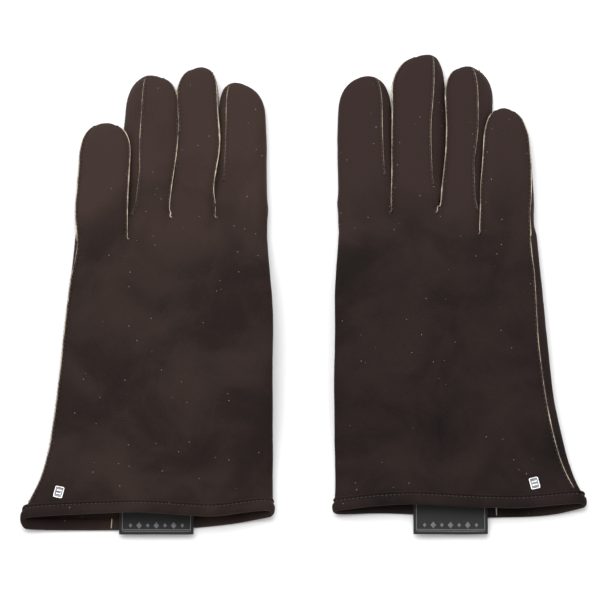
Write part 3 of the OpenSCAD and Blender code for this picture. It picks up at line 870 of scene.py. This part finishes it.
def makeSeams(glove, skin):
    side = glove["side"]
    for k, name in enumerate(fingers):
        runs = []
        if k > 0:
            runs.append((f"{name}_back", 0, seam["weak"], False, seam["weakFrom"][side][name]))
            runs.append((f"{name}_palm", 0, seam["weak"], False, 0))
        if k < 3:
            runs.append((f"{name}_back", -1, seam["strong"], True, 0))
            runs.append((f"{name}_palm", -1, seam["weak"], False, seam["palmFrom"]))
        if k == 0:
            runs.append((f"{name}_back", 0, seam["strong"] * seam["outerShare"], False, 0))
        kinds = [[], [], []]
        for number, (grid, column, strength, hooked, first) in enumerate(runs):
            path, ups = seamPath(skin, grid, column, hooked, first)
            rib, edge, stitches = seamAlong(path, ups, strength, 3.7 * k + number + 20 * glove["mirror"])
            kinds[0].append(rib)
            kinds[1].append(edge)
            kinds[2] += stitches
        addTrim(glove, name, name, kinds, [f"{side}_{name}_thread"])
    index = skin["index"]["handBack"][3:, 0]
    rib, edge, stitches = seamAlong(
        skin["points"][index], skin["normals"][index], seam["outseam"][side], 9 * glove["mirror"])
    addTrim(glove, "hand", "outseam", ([rib], [edge], stitches), [f"{side}_outseam_thread"])


# the cuff: a leather band folded round its edge and stitched down
cuff = {
    "outside": [(0.04, -6.6), (0.55, -6.4), (0.95, -5.8), (0.8, -5.2), (0.08, -4.75), (0.08, -4.25),
                (0.95, -3.8), (1.4, -3.0), (1.5, -2.2), (1.4, -1.0), (1.15, 0.25), (0.45, 0.95)],
    "inside": [(-0.45, 1.05), (-1.35, 0.6), (-1.85, -0.4), (-1.95, -2.4), (-1.8, -4.6), (-1.35, -5.0),
               (-0.93, -4.9), (-0.93, -0.1), (0.04, -0.1)],
    "stitchAt": -4.5, "stitchLift": 0.12, "wave": 0.12, "lowest": 0.02,
    "stitch": {"pitch": 2.2, "length": 1.15, "radius": 0.2, "dip": 0.22},
    "join": -20.0,  # where the band's two ends meet on the palm side
}


def cuffRing(skin):  # round the mouth: over the back, down the thumb side, back under the palm
    parts = [("handBack", False), ("handHigh", False), ("handPalm", True), ("handLow", True)]
    rows = []
    for grid, backward in parts:
        index = skin["index"][grid][:2]
        index = index[:, ::-1] if backward else index
        rows.append(index[:, :-1])
    edge, inner = np.concatenate(rows, axis=1)
    points, normals = skin["points"], skin["normals"]
    out = points[edge] - points[inner]
    for _ in range(4):
        out = (np.roll(out, 1, axis=0) + out + np.roll(out, -1, axis=0)) / 3
    out = unit(out)
    ups = unit(normals[edge] - out * np.sum(normals[edge] * out, axis=1)[:, None])
    return points[edge], ups, out


def makeCuff(glove, skin):
    side = glove["side"]
    path, ups, out = cuffRing(skin)
    profile = np.array(cuff["outside"] + cuff["inside"])
    wave = np.array([noise.noise(Vector((p[0] / 17, p[2] / 9, 5 * glove["mirror"]))) for p in path])
    grow = 1 + cuff["wave"] * wave[:, None]
    points = (path[:, None] + ups[:, None] * (profile[:, 0] * grow)[..., None]
              + out[:, None] * (profile[None, :, 1])[..., None])
    points[..., 2] = np.maximum(points[..., 2], cuff["lowest"])  # the table flattens the band's underside
    n, m = points.shape[:2]
    faces = [[i * m + j, (i + 1) % n * m + j, (i + 1) % n * m + (j + 1) % m, i * m + (j + 1) % m]
             for i in range(n) for j in range(m)]
    band = addPiece(glove, "hand", "cuff_binding_band", (points.reshape(-1, 3), faces),
                    glove["suede"], rounded=True)
    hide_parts(f"{side}_cuff_binding")
    line = path + out * cuff["stitchAt"] + ups * 0.1
    line, tops = np.append(line, line[:1], axis=0), np.append(ups, ups[:1], axis=0)
    rows = joinParts(stitchRow(line, tops, 0, cuff["stitchLift"], cuff["stitch"]))
    stitches = addPiece(glove, "hand", "hem_stitches", rows, thread)
    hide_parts(f"{side}_hem_thread")
    near = np.argmin(np.abs(path[:, 0] - cuff["join"]) + 50 * (path[:, 2] > 6))
    tabUps, tabOut = ups[near], out[near]
    tabPath = [path[near] - tabUps * 1.97 + tabOut * d for d in np.linspace(0.3, -4.9, 8)]
    tab = sweep(tabPath, np.tile(-tabUps, (8, 1)), [(-0.3, -0.1), (-0.25, 0.2), (0.25, 0.2), (0.3, -0.1)])
    addPiece(glove, "hand", "cuff_band_join", tab, rawEdge)


# the woven label and the silver plate
label = {"width": 39.5, "length": 19.0, "thick": 0.4, "middle": 4.5, "out": {"left": 3.8, "right": 11.2},
         "base": 3.2, "rise": 1.4, "border": 1.5, "line": 0.35, "lineGap": 0.9, "raised": 0.1,
         "diamonds": 7, "diamond": 1.5}


def labelHeight(glove, x, y):  # it lies on the palm's inside and lifts a little at its free end
    corner = ((x - label["middle"]) / (label["width"] / 2)) ** 2
    free = smooth(y, 6, -label["out"][glove["side"]])
    wave = 0.25 * np.sin(x / 5.5 + glove["mirror"]) * free
    return label["base"] + label["rise"] * free * (0.6 + 0.4 * corner) + wave


def labelStrip(glove, xs, ys, low, high):  # a thin closed strip that follows the label's surface
    x, y = np.meshgrid(xs, ys)
    z = labelHeight(glove, x, y)
    top, under = [np.stack([x, y, z + h], -1).reshape(-1, 3) for h in (high, low)]
    index = np.arange(x.size).reshape(x.shape)
    return np.concatenate([top, under]), closeSheet(quads(index, False).tolist(), x.size)


def makeLabel(glove):
    side = glove["side"]
    left, right = label["middle"] - label["width"] / 2, label["middle"] + label["width"] / 2
    low, high = -label["out"][side], label["length"] - label["out"][side]
    across, along = np.linspace(left, right, 41), np.linspace(low, high, 21)
    strip = labelStrip(glove, across, along, 0, label["thick"])
    cloth = addPiece(glove, "hand", "label_cloth", strip, labelCloth)
    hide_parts(f"{side}_label")
    thick, line, border = label["thick"], label["line"], label["border"]
    top = thick + label["raised"]
    lines = [labelStrip(glove, across[2:-2], [low + border + d, low + border + d + line], thick, top)
             for d in (0, label["lineGap"])]
    for x in (left + border, right - border - line):
        lines.append(labelStrip(glove, [x, x + line], along[2:], thick, top))
    size, middleY = label["diamond"], low + 5.0
    for k in range(label["diamonds"]):
        x = mix(left + 6, right - 6, k / (label["diamonds"] - 1))
        lines.append(diamond(glove, x, middleY, size * (1 if k % 2 else 0.65), thick))
    figure = addPiece(glove, "hand", "label_figure", joinParts(lines), labelFigure)
    y = high - 1.0
    path = [[x, y, labelHeight(glove, x, y) + thick] for x in np.linspace(left + 1, right - 1, 30)]
    rows = stitchRow(path, np.tile([0, 0, 1.0], (30, 1)), 0, 0.12, cuff["stitch"])
    stitches = addPiece(glove, "hand", "label_stitches", joinParts(rows), thread)
    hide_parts(f"{side}_label_thread")


def diamond(glove, x, y, size, base):
    ring = [(x - size, y), (x, y - size * 1.3), (x + size, y), (x, y + size * 1.3)]
    top = [[a, b, float(labelHeight(glove, a, b)) + base + label["raised"]] for a, b in ring]
    under = [[a, b, c - label["raised"]] for a, b, c in top]
    walls = [[k, k + 4, (k + 1) % 4 + 4, (k + 1) % 4] for k in range(4)]
    return np.array(top + under), [[0, 1, 2, 3], [7, 6, 5, 4]] + walls


plate = {"width": 5.2, "length": 6.6, "thick": 0.55, "at": {"left": (-46, 18.3), "right": (-40, 16.5)},
         "lean": 14, "corner": 0.9, "bevel": 0.28, "sink": 0.05, "bars": (-0.9, 0.9)}


def roundedOutline(width, length, corner, steps=5):
    outline = []
    for quarter in range(4):
        turn = quarter * math.pi / 2
        cx = (width / 2 - corner) * (1 if quarter in (0, 3) else -1)
        cy = (length / 2 - corner) * (1 if quarter in (0, 1) else -1)
        outline += [(cx + corner * math.cos(turn + a), cy + corner * math.sin(turn + a))
                    for a in np.linspace(0, math.pi / 2, steps)]
    return np.array(outline)


def makePlate(glove, skin):  # a small cushion-shaped plate with a raised rim and two fine bars
    side, (x, y) = glove["side"], plate["at"][glove["side"]]
    points, normals = skin["points"], skin["normals"]
    near = np.argmin(np.linalg.norm(points[:, :2] - [x, y], axis=1) + 100 * (normals[:, 2] < 0.5))
    up = normals[near]
    lean = math.radians(-plate["lean"])
    way = np.array([-math.sin(lean), math.cos(lean), 0])
    along = way - up * (way @ up)
    along /= np.linalg.norm(along)
    across = np.cross(along, up)
    top = plate["thick"]
    rings = [(0, -0.3), (0, top - plate["bevel"]), (plate["bevel"] / 2, top - 0.06),
             (plate["bevel"], top), (0.5, top), (0.62, top - 0.25)]
    field = [(0.58, top - 0.3), (0.58, top - 0.2)]
    parts = [plateRings(rings, points[near], across, along, up), *plateBars(points[near], across, along, up)]
    for name, made, material in (("silver", joinParts(parts), silver),
                                 ("field", plateRings(field, points[near], across, along, up), darkSilver)):
        piece = addPiece(glove, "hand", f"plate_{name}", made, material)
        piece.data.polygons.foreach_set("use_smooth", [False] * len(piece.data.polygons))
        if name == "silver":
            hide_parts(f"{side}_plate")


def plateRings(rings, middle, across, along, up):  # rings of a rounded rectangle, one on the other
    placed, faces, count = [], [], 0
    for inset, height in rings:
        outline = roundedOutline(plate["width"] - 2 * inset, plate["length"] - 2 * inset,
                                 max(0.15, plate["corner"] - inset * 0.8))
        placed += [middle + across * a + along * b + up * (height - plate["sink"]) for a, b in outline]
        count = len(outline)
    for ring in range(len(rings) - 1):
        for k in range(count):
            a, b = ring * count + k, ring * count + (k + 1) % count
            faces.append([a, b, b + count, a + count])
    faces += [list(range(count))[::-1], list(range((len(rings) - 1) * count, len(rings) * count))]
    return np.array(placed), faces


def plateBars(middle, across, along, up):  # fine raised bars
    bars = []
    for at in plate["bars"]:
        line = [middle + across * d + along * at + up * (plate["thick"] - 0.2) for d in (-1.3, 0, 1.3)]
        bars.append(sweep(line, np.tile(up, (3, 1)),
                          [(-0.3, -0.1), (-0.22, 0.17), (0.22, 0.17), (0.3, -0.1)]))
    return bars


# the thumb: an empty stall folded flat under the palm
thumb = {
    # each row: the edge nearer the cuff, the edge nearer the fingers, lowest z and height
    "rows": [((65.0, 70), (65.0, 112), 0.6, 7.2), ((61.5, 66), (62.5, 118), 0.1, 9.0),
             ((48, 77), (61, 120), 0, 9.0), ((36, 92), (57.5, 126), 0, 9.0),
             ((27, 110), (51.5, 134), 0, 8.8), ((21.5, 126), (44.5, 142), 0, 8.2),
             ((21, 138), (36.5, 148.5), 0, 6.4), ((25.5, 146.8), (31.0, 150.0), 1.2, 2.0)],
    "turns": 28,
}


def makeThumb(glove):
    side = glove["side"]
    turns = np.linspace(0, 2 * math.pi, thumb["turns"] + 1)
    grid = tubeGrid(thumb["rows"], turns)
    grid[:, -1] = grid[:, 0]
    points, index = weld({"tube": grid})
    faces = quads(index["tube"], True)
    normals = pointNormals(points, faces)
    points = softBumps(glove, points, normals)
    normals = pointNormals(points, faces)
    half = thumb["turns"] // 2
    for name, first in (("outer", half), ("inner", 0)):
        some = quads(index["tube"][:, first:first + half + 1], True)
        *shape, turned = solidSheet(points, normals, some, leather["thick"])
        piece = addPiece(glove, "thumb", f"thumb_{name}_leather", shape,
                         glove["suede"], turned)
        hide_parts(f"{side}_thumb_{name}")
    edge = index["tube"][1:, half]
    rib, pale, stitches = seamAlong(points[edge], normals[edge], seam["weak"], 31 * glove["mirror"])
    addTrim(glove, "thumb", "thumb", ([rib], [pale], stitches), [f"{side}_thumb_thread"])


# both gloves
for side in sides:
    glove = layOut(side)
    glove["suede"] = suedeMaterial(f"{side}Suede", suede[side])
    points, index = weld(gloveGrids(glove))
    faces = np.concatenate([quads(index[name], facesInward(name)) for name in index])
    normals = pointNormals(points, faces)
    points = softBumps(glove, points, normals)
    skin = {"points": points, "index": index, "normals": pointNormals(points, faces)}
    makePanels(glove, skin)
    makeSeams(glove, skin)
    makeCuff(glove, skin)
    makeLabel(glove)
    makePlate(glove, skin)
    makeThumb(glove)
    print(f"{side} glove made: {len(points)} points")


# floor, light and camera
studio = {"floor": 3.0, "soft": 1.5, "height": 1.6, "power": 26.0, "world": 0.85,
          "lampAt": (-0.25, 0.55), "colour": (0.93, 0.93, 0.93, 1)}


def makeStudio():
    mesh = bpy.data.meshes.new("floor")
    half = studio["floor"] / 2
    corners = [(-half, -half, 0), (half, -half, 0), (half, half, 0), (-half, half, 0)]
    mesh.from_pydata(corners, [], [(0, 1, 2, 3)])
    floor = bpy.data.objects.new("floor", mesh)
    bpy.context.scene.collection.objects.link(floor)
    mesh.materials.append(newMaterial("whiteFloor", {
        "Specular IOR Level": 0.1, "Base Color": studio["colour"], "Roughness": 0.9})[0])
    lamp = bpy.data.lights.new("softbox", "AREA")
    lamp.shape, lamp.size, lamp.energy = "SQUARE", studio["soft"], studio["power"]
    lightBox = bpy.data.objects.new("softbox", lamp)
    lightBox.location = (*studio["lampAt"], studio["height"])
    lightBox.rotation_euler = (Vector(lightBox.location) * -1).to_track_quat("-Z", "Y").to_euler()
    bpy.context.scene.collection.objects.link(lightBox)
    world = bpy.context.scene.world or bpy.data.worlds.new("world")
    bpy.context.scene.world = world
    world.use_nodes = True
    world.node_tree.nodes["Background"].inputs["Color"].default_value = (1, 1, 1, 1)
    world.node_tree.nodes["Background"].inputs["Strength"].default_value = studio["world"]
    bpy.context.scene.view_settings.view_transform = "Standard"


view = {"elevation": 74.5, "distance": 3.2, "lens": 352.0, "aim": (0.0008, -0.0066, 0)}


def makeCamera():
    data = bpy.data.cameras.new("camera")
    camera = bpy.data.objects.new("camera", data)
    bpy.context.scene.collection.objects.link(camera)
    tilt = math.radians(view["elevation"])
    aim = Vector(view["aim"])
    back = Vector((0, -math.cos(tilt), math.sin(tilt)))
    camera.location = aim + back * view["distance"]
    camera.rotation_euler = (-back).to_track_quat("-Z", "Y").to_euler()
    data.lens, data.clip_start, data.clip_end = view["lens"], 0.05, 20
    bpy.context.scene.camera = camera


makeStudio()
makeCamera()
print("scene ready")
